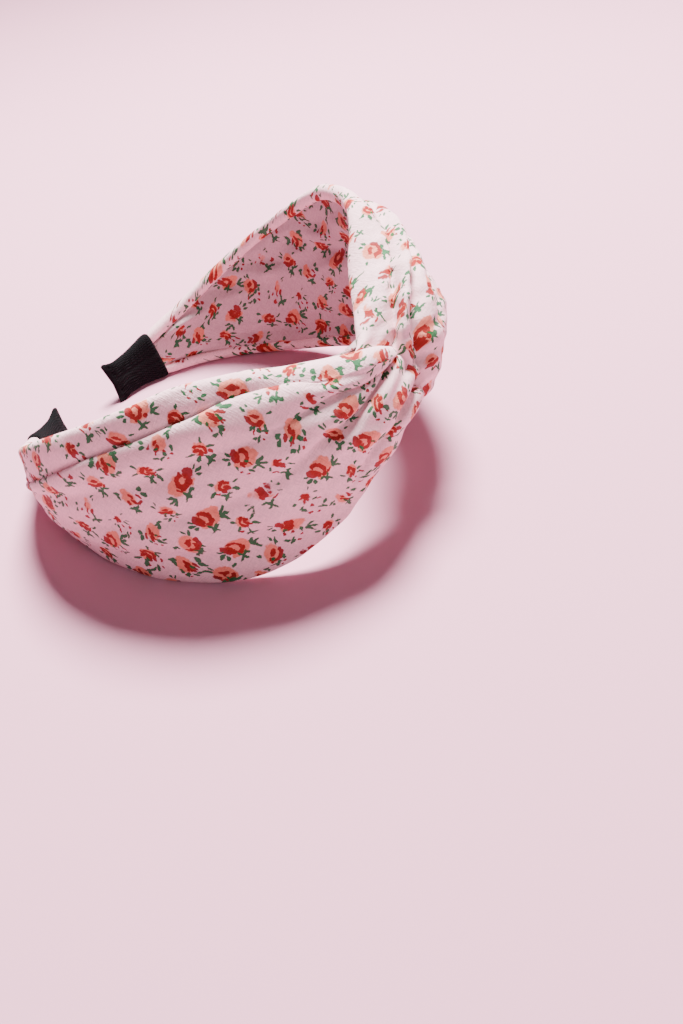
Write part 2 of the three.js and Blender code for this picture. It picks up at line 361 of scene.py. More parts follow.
def near_wrap():
    """Lines and strips of the left arm's cloth, from the upper lip to the lower lip."""
    arm = Arm(-1)
    at = ARM_STATIONS
    valley, ridge = long_fold(
        arm,
        share=[[66, 0.72], [95, 0.68], [120, 0.5], [138, 0.3], [153, 0.15], [165, 0.05]],
        depth=[[66, 2.2], [108, 2.0], [140, 1.2], [165, 0]],
        lap=[[66, 1.3], [125, 1.1], [165, 0]])
    lines = [
        line([[-4, -6, 0], [4, -1, 2], [12, 3.5, 4], [20, 8, 3.5], [30, 11, 0.5], [45, 17.5, -0.8]],
             arm.rim(at, 1, LIP)),
        line([[-4, -7, -1], [3, -1.5, 1], [9, 3.5, 4], [16, 6.8, 6], [24, 10.3, 3.5], [34, 13.5, 0],
              [48, 19.5, -1.6]], arm.rim(at, 1, INNER)),
        line([[-3, -6, 1], [2.2, -2, 3.8], [8, 1.5, 10.6], [15, 5, 13.5], [23, 8.5, 13], [33, 11.5, 10],
              [48, 17.8, 6.6]], arm.rim(at, 1, OUTER)),
        line([[-3, -6.4, 0.5], [2.2, -2.2, 3.2], [8, 1.3, 9.9], [15, 4.3, 13.2], [23, 7.2, 13.3],
              [33, 10.4, 10.8], [41, 13.6, 7.2], [50, 16.2, 4.8]], valley),
        line([[-3, -6.6, 0.3], [2.2, -2.3, 3], [8, 1.2, 9.4], [15, 3.9, 12.8], [23, 6.4, 13.2],
              [33, 9.8, 11.5], [41, 14.3, 9], [50, 17.2, 7.6]], ridge),
        line([[-3, -7, -1], [1, -2.5, 1.5], [7, 1.3, 6.2], [16.5, 2.7, 8.6], [23.5, 3.5, 10.3],
              [31.5, 5.5, 10.8], [39, 6, 11.2], [50, 6.2, 11.4]], sunk(arm, 0.27, 2.9)),
        line([[-3, -7.5, -1], [1, -3.5, 1.5], [7, -0.2, 6], [14, 0.2, 8.4], [18.5, -0.5, 10.5],
              [23, -1.6, 11], [28, -3, 11.7], [33, -3.5, 12], [40, -3.3, 12], [51, -6.5, 11.4]],
             sunk(arm, -0.24, 3.4)),
        line([[-2, -9, 1.5], [1, -6.5, 5], [7, -4.2, 10], [13.5, -4.4, 12], [20, -6, 14], [28, -7.5, 14.8],
              [37, -10.5, 13], [45, -17.5, 10.6], [55, -22.5, 8.4]], sunk(arm, -0.68, 2.7)),
        line([[-3, -13, 2], [2, -11.5, 6], [6.5, -10.6, 9], [12, -11.2, 10], [18, -12, 11],
              [23, -13.8, 11], [28.7, -15.5, 11], [37.5, -22.3, 8.8], [46, -29.5, 6.2],
              [55, -33, 4.6]], arm.face(at, -0.95)),
        line([[-5, -15, 5], [2, -17, 8], [9, -17.5, 9], [18, -19.5, 9], [27, -22.5, 8], [38, -28, 6.3],
              [50, -33.5, 4.2]], arm.rim(at, -1, OUTER)),
        line([[-5, -14, -2], [2, -16.5, -3], [9, -17.5, -4], [18, -21, -5], [27, -25, -5],
              [38, -29.5, -3.6], [50, -33.8, -2.1]], arm.rim(at, -1, INNER)),
        line([[-5, -9, -0.5], [2, -10, -1], [9, -11.5, -1.5], [18, -14, -2], [27, -18, -1.8], [38, -24, -1],
              [50, -29, -0.5]], arm.rim(at, -1, LIP)),
    ]
    strips = [
        Strip(5, 0.35, 1.0),
        rim(arm, 16, 3.1),
        Strip(6, FOLD_TOP, 1.0),
        Strip(6, FOLD_UNDER, 0.5, FOLD_EDGE),
        pleat(arm, 16, 0.7, 0.27, [[0, 0.3], [12, 1.3], [24, 2.0], [36, 1.4], [52, 1.0], *PUFF_END]),
        pleat(arm, 14, 0.27, -0.26,
              [[0, 0.3], [7, 1.3], [16, 2.8], [28, 2.9], [40, 1.9], [52, 1.2], *PUFF_END], until(34, 95)),
        pleat(arm, 14, -0.26, -0.78,
              [[0, 0.6], [7, 2.2], [14, 3.2], [24, 3.2], [36, 1.7], [52, 1.1], *PUFF_END], until(40, 105)),
        pleat(arm, 12, -0.78, -0.95,
              [[0, 0.6], [7, 2.0], [14, 2.8], [24, 2.2], [40, 1.0], [60, 0], [66, 0]], until(10, 18, 0.9)),
        pleat(arm, 10, -0.95, -1,
              [[0, 0.6], [10, 2.4], [24, 2.2], [40, 0.8], [60, 0], [66, 0]], until(26, 50)),
        rim(arm, 18, 4.2),
        Strip(6, 0.35, 1.0),
    ]
    return lines, strips


def far_wrap():
    """Lines and strips of the right arm's cloth, from the upper lip to the lower lip."""
    arm = Arm(1)
    at = ARM_STATIONS
    valley, ridge = long_fold(
        arm,
        share=[[66, -0.7], [95, -0.66], [120, -0.5], [138, -0.3], [153, -0.15], [165, -0.05]],
        depth=[[66, 1.6], [108, 1.8], [140, 1.1], [165, 0]],
        lap=[[66, 1.0], [125, 1.1], [165, 0]])
    lines = [
        line([[-20, 4, 3], [-12, 5, 1], [-5, 7, -1], [4, 9, -2], [14, 13, -3], [25, 19, -3], [36, 25, -2],
              [50, 30.5, -1]], arm.rim(at, 1, LIP)),
        line([[-22, 5, 6], [-17, 8, 4.5], [-13, 10, 2.5], [-7, 12.5, -1], [1, 13.5, -5], [12, 18.5, -8],
              [20, 23.5, -8], [27, 28.5, -6], [36, 33, -4], [50, 34.8, -2.2]], arm.rim(at, 1, INNER)),
        line([[-24, 5, 8], [-17, 7, 7], [-12, 7.3, 6.5], [-6, 8.4, 6], [-2, 11, 6], [4, 14.5, 6],
              [9, 17.1, 6], [16, 18.8, 6], [23, 21.3, 6], [31, 25, 6], [38, 29.3, 5.4], [46, 32.6, 4.6]],
             arm.rim(at, 1, OUTER)),
        line([[-16, 3, 4], [-10, 2.5, 3], [-5, 2, 3.5], [-1.5, 2.5, 6], [0.5, 5.5, 7], [3, 9.5, 7],
              [8, 14.2, 6.8], [13, 17.8, 6.4], [20, 20.6, 6.2], [30, 24.4, 6.4], [40, 29, 6.2],
              [50, 32, 5.2]], arm.face(at, 0.93)),
        line([[-5, -16, 4], [-3.3, -13.5, 7], [-1.1, -9.4, 9], [0.5, -3, 10.5], [1.5, 2, 11],
              [3.5, 5.5, 10.4], [6.7, 8.5, 10], [12.4, 12.6, 8.8], [19, 16.6, 7.6], [30, 19.5, 7.8],
              [42, 21.5, 8.4], [52, 22, 8.2]], sunk(arm, 0.6, 3.2)),
        line([[0, -19, 4], [5, -18, 6], [9, -13, 9], [12, -6, 11.5], [14.6, 0.6, 12], [18.4, 6.2, 11.6],
              [25, 9.5, 11.2], [35.6, 11.2, 10.6], [50, 11, 10.2]], sunk(arm, 0.28, 3.4)),
        line([[3, -20.5, 4.5], [8, -18.5, 7], [13, -13.5, 9.5], [18, -9, 12], [25, -7.5, 13],
              [36, -9, 12.5], [50, -12.5, 10]], ridge),
        line([[3, -20.8, 4.2], [8, -18.8, 6.5], [13, -13.8, 9], [18, -9.4, 11.4], [25, -8, 11.8],
              [36, -9.5, 10.6], [50, -12.7, 8]], valley),
        line([[3, -21, 4], [8, -19, 6], [13, -14.5, 8.3], [18, -10.8, 10.3], [25, -9.7, 10.6],
              [36, -12, 8.4], [50, -18, 5]], arm.rim(at, -1, OUTER)),
        line([[5, -17, -2.2], [12, -15, -2.4], [20, -12.5, -2], [30, -12, -1.8], [45, -16, -1.7],
              [56, -20.5, -1.7]], arm.rim(at, -1, INNER)),
        line([[5, -10, -0.5], [14, -9, 0], [30, -7.5, 0.2], [45, -11, 0], [56, -15.5, 0]],
             arm.rim(at, -1, LIP)),
    ]
    strips = [
        Strip(6, 0.5, 1.0),
        rim(arm, 22, 2.6, upper_roll),
        Strip(8, until(10, 30, 0.3), 1.0, until(40, 60)),
        pleat(arm, 18, 0.93, 0.6,
              [[0, 1.5], [6, 4.4], [16, 6], [30, 5.8], [44, 4.6], [58, 2.8], *PUFF_END], until(60, 100)),
        pleat(arm, 20, 0.6, 0.3,
              [[0, 1], [6, 3.8], [16, 6.0], [30, 5.8], [44, 4.4], [58, 2.8], *PUFF_END], until(60, 100)),
        pleat(arm, 16, 0.3, -0.7,
              [[0, 0.5], [8, 1.8], [16, 3.2], [30, 3.4], [44, 2.9], [58, 2.3], *PUFF_END], until(50, 95)),
        Strip(6, FOLD_UNDER, 0.5),
        Strip(6, FOLD_TOP, 1.0, FOLD_EDGE),
        rim(arm, 16, 4.0),
        Strip(6, 0.35, 1.0),
    ]
    return lines, strips


def mesh_object(name, points, faces, uv, material):
    """A smooth mesh of row-frame points in metres, with a UV map in metres of cloth."""
    mesh = bpy.data.meshes.new(name)
    mesh.from_pydata(points.reshape(-1, 3).tolist(), [], faces)
    mesh.polygons.foreach_set("use_smooth", np.ones(len(mesh.polygons), bool))
    layer = mesh.uv_layers.new(name="cloth")
    loops = np.zeros(len(mesh.loops), np.int32)
    mesh.loops.foreach_get("vertex_index", loops)
    layer.data.foreach_set("uv", uv.reshape(-1, 2)[loops].ravel().astype(np.float32))
    mesh.materials.append(material)
    mesh.update()
    obj = bpy.data.objects.new(name, mesh)
    bpy.context.scene.collection.objects.link(obj)
    return obj


def grid_mesh(name, points, uv, material, flip=False):
    """An open sheet of quads through a grid of points."""
    rows, columns = points.shape[:2]
    index = np.arange(rows * columns).reshape(rows, columns)
    corners = [index[:-1, :-1], index[1:, :-1], index[1:, 1:], index[:-1, 1:]]
    quads = np.stack(corners[::-1] if flip else corners, axis=-1).reshape(-1, 4)
    return mesh_object(name, points, quads.tolist(), uv, material)


def cloth_uv(points, anchor_row):
    """Metres of cloth along and across, measured on the grid itself."""
    along, across = arc_lengths(points, 0), arc_lengths(points, 1)
    along -= along[anchor_row]
    across -= across[:, -1:] / 2
    return np.stack([along, across], axis=-1)


def on_the_floor(world):
    """Flattens whatever would hang below the floor that the band lies on."""
    height, soft = world[..., 2], 0.8 * MM
    return np.dstack([world[..., :2], (height + np.sqrt(height**2 + soft**2)) / 2])


# Heights of a wrap's ripples, of what the knot adds to them, and of its wide swells
RIPPLE, KNOT_RIPPLE, SWELL = 0.19, 0.22, 0.45


def make_wrap(name, side, lines, strips, material):
    """One arm's cloth: softened, rippled most at the knot, and drawn in where it meets the sleeve."""
    points, sharpness = cloth_points(lines, strips)
    points = soften(points, sharpness, 3)
    anchor = int(np.searchsorted(ROWS, ARM_START))
    near = fade(70, 15, ROWS)[:, None]
    outside = fade(-1, 3, points[..., 2])
    ripple = (RIPPLE + KNOT_RIPPLE * near) * waves(points, 5 + side, 10, (4, 12), 5.0)
    swell = SWELL * waves(points, 15 + side, 6, (24, 60), 2.0) * (1 - near)
    ends = fade(WRAP_END, WRAP_END - 12, ROWS)[:, None]
    points = points + normals(points) * ((ripple + swell) * outside * ends)[..., None]
    tucked = fade(WRAP_END - 4, WRAP_END - 1, ROWS)[:, None]
    tip_middle = LINING_OUT + RIM_THICKNESS[-1][1] / 2
    points[..., 1] *= 1 - 0.07 * tucked
    points[..., 2] += (tip_middle - points[..., 2]) * 0.18 * tucked
    world = on_the_floor(place(side * points[..., 0], points[..., 1], points[..., 2]))
    return grid_mesh(name, world, cloth_uv(world, anchor), material, flip=side > 0)


# ------------ lining, pads, sleeves and thread

LINING_FACE = -1.15
LINING_SWELL, LINING_FOLD, LINING_RIPPLE = 1.3, 1.15, 0.12

# Where the lining meets the rims near the knot, as [distance, across, out]
FULL_EDGE = [[0, 11, 2.5], [14, 14, -0.2], [25, 19, -0.8], [36, 25.5, -0.8], [50, 31, -0.4], [66, 34, 0]]
SLIM_UPPER_EDGE = [[0, 10, 3], [12, 9.5, 4], [20, 11, 3.6], [30, 13.5, 1.4], [45, 20, 0.3], [66, 25, 0.3]]
SLIM_LOWER_EDGE = [[0, 11, 3], [15, 10.5, 3.2], [28, 10, 2.6], [40, 13, 1], [50, 17, 0.2], [66, 21, 0]]

PAD_REACH = 0.56
PAD_CREST = 0.45
PAD_LEAST_CREST = 2.5
PAD_GAP = 0.3

SLEEVE_HALF_WIDTH = [[167.2, 9.35], [169, 9.3], [173, 8.4], [179, 7.3], [184, 7.0], [187.5, 7.9],
                     [189, 8.6], [189.6, 8.6], [190, 8.2]]
SLEEVE_HALF_THICKNESS = [[167.2, 3.05], [169, 3.0], [174, 2.5], [180, 2.1], [186, 1.8], [187.6, 1.5],
                         [188.8, 1.15], [190, 0.9]]
SLEEVE_MIDDLE_OUT = 0.95
SLEEVE_TURN_IN = 0.35
SLEEVE_LINING_DEPTH = 3.0
RIB_COUNT, RIB_HEIGHT = 44, 0.11
PUCKER_COUNT, PUCKER_HEIGHT, PUCKER_PLACE = 13, 0.16, 188.6
EAR_LENGTH = 0.75

TACK_STRANDS = 3
TACK_HALF_LENGTH, TACK_TAPER, TWIST_LENGTH = 4.0, 4.05, 4.2
TACK_RADIUS, STRAND_RADIUS = 0.42, 0.34
TACK_OUT = -1.75
TACK_SINK = 0.9


def rows_from(start, end, spacing):
    return np.linspace(start, end, round((end - start) / spacing) + 1)


def hoop_half_width(distance):
    return HOOP_HALF_WIDTH + (HOOP_TIP_HALF_WIDTH - HOOP_HALF_WIDTH) * fade(0, HALF_LENGTH, distance)


def lining_edge(arm, distance, sign):
    """Where the lining disappears behind a rim's roll, as (across, out)."""
    full = arm.reach(ARM_START, sign) > arm.reach(ARM_START, -sign)
    tucked = arm.rim(distance, sign, -0.17) + np.array([sign * 1.0, 0.4])
    places = np.array(FULL_EDGE if full else SLIM_UPPER_EDGE if sign > 0 else SLIM_LOWER_EDGE)
    near_across = profile(places[:, :2], np.minimum(distance, ARM_START))
    near_out = profile(places[:, ::2], np.minimum(distance, ARM_START))
    t = fade(48, ARM_START, distance)
    near = np.stack([sign * near_across, near_out], axis=-1)
    return near + (tucked - near) * t[:, None]


def make_lining(name, side, material):
    """The inner cloth: flat on the hoop, then rising to the rims, with loose folds between."""
    arm = Arm(side)
    distance = rows_from(0, WRAP_END - 0.5, 1.2)
    upper, lower = lining_edge(arm, distance, 1), lining_edge(arm, distance, -1)
    share = np.linspace(0, 1, 61)
    across = upper[:, :1] + (lower[:, :1] - upper[:, :1]) * share
    half = np.where(across > 0, upper[:, :1], -lower[:, :1])
    edge_out = np.where(across > 0, upper[:, 1:], lower[:, 1:])
    strip = hoop_half_width(distance)[:, None]
    beyond = np.clip((np.abs(across) - strip) / np.maximum(half - strip, 1.0), 0, 1)
    out = LINING_FACE + (edge_out - LINING_FACE) * fade(0, 1, beyond)
    grid = np.stack([np.broadcast_to(distance[:, None], across.shape), across, out], axis=-1)
    free = np.sin(math.pi * beyond) * fade(WRAP_END, WRAP_END - 25, distance)[:, None]
    out = out + free * (LINING_SWELL * waves(grid, 40 + side, 6, (14, 28), 3.0) - 0.1)
    out = out + LINING_FOLD * free * waves(grid, 45 + side, 4, (9, 14), 5.0)
    out = out + LINING_RIPPLE * waves(grid, 50 + side, 8, (5, 11), 3.0) * (0.3 + free)
    world = place(side * grid[..., 0], across, out)
    anchor = int(np.searchsorted(distance, ARM_START))
    return grid_mesh(name, world, cloth_uv(world, anchor), material, flip=side < 0)


def face_outwards(mesh):
    """Turns every face of a closed mesh to the outside."""
    mesh.validate()
    bm = bmesh.new()
    bm.from_mesh(mesh)
    bmesh.ops.recalc_face_normals(bm, faces=bm.faces)
    bm.to_mesh(mesh)
    bm.free()


def closed_loft(name, rings, material):
    """A closed body through rings of row-frame points (rings, points, 3), with fans for its two ends."""
    rows, count = rings.shape[:2]
    index = np.arange(rows * count).reshape(rows, count)
    following = np.roll(index, -1, axis=1)
    corners = [index[:-1], following[:-1], following[1:], index[1:]]
    faces = np.stack(corners, axis=-1).reshape(-1, 4).tolist()
    first, last = rows * count, rows * count + 1
    faces += [(first, int(following[0][i]), int(index[0][i])) for i in range(count)]
    faces += [(last, int(index[-1][i]), int(following[-1][i])) for i in range(count)]
    uv = ring_uv(rings)
    points = np.vstack([rings.reshape(-1, 3), rings[0].mean(axis=0), rings[-1].mean(axis=0)])
    uv = np.vstack([uv.reshape(-1, 2), uv[0].mean(axis=0), uv[-1].mean(axis=0)])
    obj = mesh_object(name, points, faces, uv, material)
    face_outwards(obj.data)
    return obj


def ring_uv(rings):
    """Metres along and round a loft."""
    along, around = arc_lengths(rings, 0).mean(axis=1), arc_lengths(rings, 1)
    return np.stack([np.broadcast_to(along[:, None], around.shape), around], axis=-1)


def rounded(value, power):
    """A sine or cosine bent towards a rounded box, for powers below 1."""
    return np.sign(value) * np.abs(value) ** power


def make_pad(name, side, material):
    """A foam pad over the hoop's outer face, thinner to its rounded edges and ends."""
    arm = Arm(side)
    distance = rows_from(PAD_START, PAD_END, 2.5)
    turn = np.linspace(0, math.tau, 48, endpoint=False)
    rise, fall = fade(PAD_START - 4, PAD_START + 12, distance), fade(PAD_END + 4, PAD_END - 12, distance)
    ends = np.sqrt(rise * fall)
    upper = arm.reach(distance, 1) * PAD_REACH * ends
    lower = arm.reach(distance, -1) * PAD_REACH * ends
    crest = np.maximum(profile(BAND_THICKNESS, distance) * PAD_CREST, PAD_LEAST_CREST)
    half = np.where(np.cos(turn) > 0, upper[:, None], lower[:, None])
    across = half * rounded(np.cos(turn), 0.8)
    base = HOOP_THICKNESS + PAD_GAP
    height = (crest[:, None] - base) * ends[:, None]
    out = base + height * (0.5 + 0.5 * rounded(np.sin(turn), 0.7))
    grid = np.stack([np.broadcast_to(distance[:, None], across.shape), across, out], axis=-1)
    out = out + 0.15 * waves(grid, 60 + side, 8, (4, 12), 1.0)
    return closed_loft(name, place(side * grid[..., 0], across, out), material)


def make_sleeve(name, side, material):
    """A flat ribbed pouch pulled over the tip, with a rolled mouth and a flared end seam."""
    outer = rows_from(SLEEVE_MOUTH, HALF_LENGTH, 0.4)
    turn = np.linspace(0, math.tau, 180, endpoint=False)
    oval_across = rounded(np.cos(turn), 0.62)
    oval_out = rounded(np.sin(turn), 0.55)

    lip = fade(SLEEVE_MOUTH, SLEEVE_MOUTH + 1, outer) ** 0.5
    turn_in = SLEEVE_TURN_IN * (1 - lip)
    width = profile(SLEEVE_HALF_WIDTH, outer) - turn_in
    thick = profile(SLEEVE_HALF_THICKNESS, outer) - turn_in

    ribs = RIB_HEIGHT * np.cos(turn * RIB_COUNT) * (lip * fade(190.2, 188.5, outer))[:, None]
    seam = np.exp(-((outer - PUCKER_PLACE) / 0.8) ** 2)[:, None]
    puckers = PUCKER_HEIGHT * np.cos(turn * PUCKER_COUNT + 1.3 * side) * seam
    sway = 0.035 * np.sin(outer / 4.0 + side)[:, None]
    across = width[:, None] * oval_across + ribs * np.cos(turn)
    out = SLEEVE_MIDDLE_OUT + thick[:, None] * oval_out + (ribs + puckers) * np.sin(turn) + sway

    corner = (outer / HALF_LENGTH) ** 30
    along = outer[:, None] - EAR_LENGTH * corner[:, None] * (1 - 2 * np.abs(np.cos(turn)) ** 3)
    shell = place(side * along, across, out)
    inside = [
        place(side * np.full(len(turn), row + 0.3), (8.6 - 0.35 * k) * oval_across,
              SLEEVE_MIDDLE_OUT + (2.3 - 0.15 * k) * oval_out)
        for k, row in enumerate(rows_from(SLEEVE_MOUTH, SLEEVE_MOUTH + SLEEVE_LINING_DEPTH, 1.0))]
    rings = on_the_floor(np.concatenate([np.stack(inside[::-1]), shell]))
    return closed_loft(name, rings, material)


def make_tack(name, material):
    """A bar of twisted threads that holds the knot to the hoop, on the lining."""
    along = np.linspace(-TACK_HALF_LENGTH, TACK_HALF_LENGTH, 70)
    turn = np.linspace(0, math.tau, 12, endpoint=False)
    taper = np.sqrt(np.clip(1 - (along / TACK_TAPER) ** 4, 0.02, 1))
    strands = []
    for strand in range(TACK_STRANDS):
        twist = along / TWIST_LENGTH * math.tau + strand * math.tau / TACK_STRANDS
        middle_across = TACK_RADIUS * np.cos(twist) * taper
        middle_out = TACK_OUT + TACK_RADIUS * np.sin(twist) * taper + TACK_SINK * (1 - taper)
        radius = STRAND_RADIUS * taper[:, None]
        across = middle_across[:, None] + radius * np.cos(turn)
        out = middle_out[:, None] + radius * np.sin(turn)
        world = place(np.broadcast_to(along[:, None], across.shape), across, out)
        strands.append(closed_loft(f"{name}_{strand + 1}", world, material))
    return strands


def thicken(obj, thickness):
    """Gives a cloth its thickness, inwards from the face that was drawn."""
    solid = obj.modifiers.new("thickness", "SOLIDIFY")
    solid.thickness = thickness * MM
    solid.offset = -1
    with bpy.context.temp_override(object=obj, active_object=obj, selected_objects=[obj]):
        bpy.ops.object.modifier_apply(modifier=solid.name)


# ------------ materials


class Tree:
    """Short names for the nodes of one material."""

    def __init__(self, name):
        self.material = bpy.data.materials.new(name)
        self.material.use_nodes = True
        self.nodes, self.links = self.material.node_tree.nodes, self.material.node_tree.links
        self.shader = self.nodes["Principled BSDF"]

    def put(self, socket, value):
        """Links a socket to another one, or sets it to a constant, or leaves it as it is."""
        if isinstance(value, bpy.types.NodeSocket):
            self.links.new(value, socket)
        elif value is not None:
            socket.default_value = value

    def node(self, kind, inputs, **settings):
        """A new node with its settings, and its inputs by name or number."""
        node = self.nodes.new("ShaderNode" + kind)
        for name, value in settings.items():
            setattr(node, name, value)
        for name, value in inputs.items():
            self.put(node.inputs[name], value)
        return node

    def finish(self, color=None, roughness=None, normal=None, specular=None, sheen=None):
        """Sets the shader's inputs, each to a socket or to a constant, and gives the material."""
        wanted = {"Base Color": color, "Roughness": roughness, "Normal": normal,
                  "Specular IOR Level": specular, "Sheen Weight": sheen}
        for name, value in wanted.items():
            self.put(self.shader.inputs[name], value)
        return self.material

    def math(self, operation, a, b=None, c=None):
        return self.node("Math", {0: a, 1: b, 2: c}, operation=operation).outputs[0]

    def vector(self, operation, a, b=None):
        node = self.node("VectorMath", {0: a, 1: b}, operation=operation)
        return node.outputs["Value" if operation == "LENGTH" else "Vector"]

    def scaled(self, vector, scale):
        return self.node("VectorMath", {0: vector, 3: scale}, operation="SCALE").outputs["Vector"]

    def centred(self, color, reach):
        """A random colour as an offset of up to half the reach each way."""
        return self.vector("MULTIPLY", self.vector("SUBTRACT", color, (0.5, 0.5, 0.5)), reach)

    def mapping(self, vector, location=(0, 0, 0), turn=0.0, scale=(1, 1, 1)):
        rotation = (0, 0, math.radians(turn))
        inputs = {"Vector": vector, "Location": location, "Rotation": rotation, "Scale": scale}
        return self.node("Mapping", inputs, vector_type="TEXTURE").outputs[0]

    def noise(self, vector, scale, detail=2.0, output="Fac"):
        return self.node("TexNoise", {"Vector": vector, "Scale": scale, "Detail": detail}).outputs[output]

    def range(self, value, low, high, to_low=0.0, to_high=1.0):
        inputs = {"Value": value, "From Min": low, "From Max": high, "To Min": to_low, "To Max": to_high}
        return self.node("MapRange", inputs).outputs[0]

    def mix(self, share, *colors):
        """A colour between two colours."""
        a, b = ((*color, 1) if isinstance(color, tuple) else color for color in colors)
        return self.node("Mix", {"Factor": share, "A": a, "B": b}, data_type="RGBA").outputs["Result"]

    def choose(self, share, a, b):
        """One number or the other, by a share from 0 to 1."""
        return self.node("Mix", {"Factor": share, "A": a, "B": b}).outputs["Result"]

    def split(self, vector):
        return self.node("SeparateXYZ", {0: vector}).outputs

    def join(self, x, y, z=0.0):
        return self.node("CombineXYZ", {0: x, 1: y, 2: z}).outputs[0]

    def cloth(self):
        """Millimetres of cloth along and across."""
        return self.scaled(self.node("UVMap", {}, uv_map="cloth").outputs[0], 1000.0)

    def solid(self):
        """Metres in the piece's own space."""
        return self.node("TexCoord", {}).outputs["Object"]

    def bump(self, height, strength, distance):
        inputs = {"Height": height, "Strength": strength, "Distance": distance}
        return self.node("Bump", inputs).outputs[0]


# Motifs of the print, in millimetres: petals are (x, y, half length, half width, turn in degrees), and
# arcs are (x, y, radius, half width, turn, cut), open on the side that they are turned to
ROSE = {
    "blush": [(-0.5, -0.3, 3.4, 2.9, 15), (-2.2, -1.5, 1.9, 1.6, 0), (0.9, 1.7, 1.9, 1.2, 30)],
    "red": [(2.6, -0.2, 1.35, 1.5, 25), (3.0, -1.3, 0.8, 0.75, 0), (-0.2, -1.7, 1.2, 0.55, -35),
            (1.7, 1.0, 0.9, 0.7, 40)],
    "red_arcs": [(0.7, -0.1, 1.75, 0.5, 10, 0.35)],
    "green": [(-5.0, 1.9, 1.3, 0.48, -35), (-5.3, 0.7, 1.4, 0.45, 2), (-4.8, -0.4, 1.25, 0.45, 40),
              (-4.3, 1.0, 0.75, 0.8, 0), (4.0, 2.3, 0.75, 0.55, 50), (5.0, 1.2, 1.05, 0.5, 12),
              (4.8, -0.3, 0.8, 0.42, -18)],
}
PEONY = {
    "blush": [(0.1, -0.5, 3.2, 2.6, -20), (-1.5, 0.9, 1.9, 1.7, 0)],
    "red": [(0.4, -0.6, 1.5, 0.7, -8), (2.6, 0.5, 1.1, 0.55, -50)],
    "red_arcs": [(0.5, -0.2, 2.35, 0.5, -95, -0.1)],
    "green": [(-2.6, 2.9, 1.5, 0.45, 8), (-0.7, 3.1, 0.9, 0.62, -25), (1.6, 2.8, 0.8, 0.5, 60),
              (3.9, -2.2, 1.1, 0.5, -40), (3.0, -3.3, 0.8, 0.4, -75), (-3.8, -2.3, 0.9, 0.45, 30)],
}
TULIP = {
    "blush": [(-0.9, 0.2, 2.7, 2.4, 35), (-2.0, -1.2, 1.5, 1.4, 0)],
    "red": [(0.7, 1.0, 1.8, 0.6, 30), (-0.4, -0.6, 1.2, 0.5, 35), (1.9, -0.8, 1.1, 0.5, 25)],
    "green": [(-4.6, -0.2, 1.3, 0.42, -15), (-4.0, 0.7, 0.9, 0.6, 40), (3.6, -1.7, 1.2, 0.62, 10),
              (2.3, -3.0, 0.8, 0.75, 0), (0.5, 3.2, 0.62, 0.8, 0)],
}
BUD = {
    "blush": [(-0.4, -0.2, 2.4, 2.1, 0)],
    "red": [(1.0, 0.7, 1.3, 0.7, 30), (0.7, -0.9, 1.1, 0.6, -20)],
    "red_arcs": [(0.2, 0.0, 1.6, 0.42, -10, 0.2)],
    "green": [(-2.9, 1.9, 1.2, 0.5, -50), (3.3, 1.3, 1.2, 0.55, 25), (3.2, -1.3, 1.1, 0.42, -35),
              (-3.4, -1.0, 0.9, 0.45, 20)],
}
SPRIG = {
    "red": [(2.4, -1.5, 1.1, 0.36, -24), (-0.7, -2.5, 0.6, 0.7, 0)],
    "green": [(0.0, 0.3, 1.8, 0.45, 55), (0.2, 0.1, 1.6, 0.42, -42), (-1.0, -0.6, 0.8, 0.4, 5)],
}
SPRAY = {
    "red": [(-1.6, 1.0, 0.5, 0.4, 0), (-0.7, -0.8, 0.6, 0.34, 60), (1.5, -1.4, 0.8, 0.3, 35),
            (0.2, 1.9, 0.42, 0.34, 0)],
    "green": [(-2.7, -0.4, 0.95, 0.42, 60), (1.4, 1.1, 1.1, 0.4, 30), (2.5, 0.2, 0.9, 0.42, -25),
              (0.5, -2.2, 0.7, 0.4, 10)],
}

# The motifs lie in three layers of cells: the cells' size and shift, how far each row is staggered, how far
# a motif sways, a seed, and the share of cells that get the first motif instead of the second
PRINT_LAYERS = (
    ((18.0, 14.0), (0.0, 0.0), 0, 1.0, 3.0, 0.35, TULIP, ROSE),
    ((18.0, 14.0), (0.5, 0.5), 0, 1.0, 5.0, 0.5, BUD, PEONY),
    ((18.0, 7.0), (0.5, 0.0), 0.5, 0.5, 8.0, 0.45, SPRAY, SPRIG),
)

# Each ink: its two shades, how far it spreads beyond its motif's outline, and how well it covers
INKS = {
    "blush": ((0.76, 0.17, 0.10), (0.82, 0.26, 0.17), 1.03, 0.92),
    "red": ((0.20, 0.004, 0.006), (0.38, 0.014, 0.012), 1.10, 0.95),
    "green": ((0.001, 0.08, 0.023), (0.004, 0.18, 0.055), 1.13, 0.95),
}
INK_EDGE = 0.09
WANDER, RAGGED = 9.0, 1.5
STROKE_END = 8.0
THREAD_TURN = 42
RIB_WIDTH, LOOP_LENGTH, PLY_LENGTH = 1.1, 0.85, 0.5
PORES_PER_METRE = 1100
THREAD_LENGTH, WARP_WIDTH, WEFT_WIDTH = 2.2, 0.42, 0.46


def petal(tree, at, x, y, half_length, half_width, turn):
    """Below 1 inside an ellipse."""
    return tree.vector("LENGTH", tree.mapping(at, (x, y, 0), turn, (half_length, half_width, 1)))


def arc(tree, at, x, y, radius, half_width, turn, cut):
    """Below 1 inside a stroke along most of a circle."""
    local = tree.mapping(at, (x, y, 0), turn, (radius, radius * 1.15, 1))
    off_circle = tree.math("ABSOLUTE", tree.math("SUBTRACT", tree.vector("LENGTH", local), 1.0))
    stroke = tree.math("MULTIPLY", off_circle, radius / half_width)
    beyond = tree.math("MULTIPLY_ADD", tree.split(local)[0], STROKE_END, 1 - STROKE_END * cut)
    return tree.math("MAXIMUM", stroke, beyond)


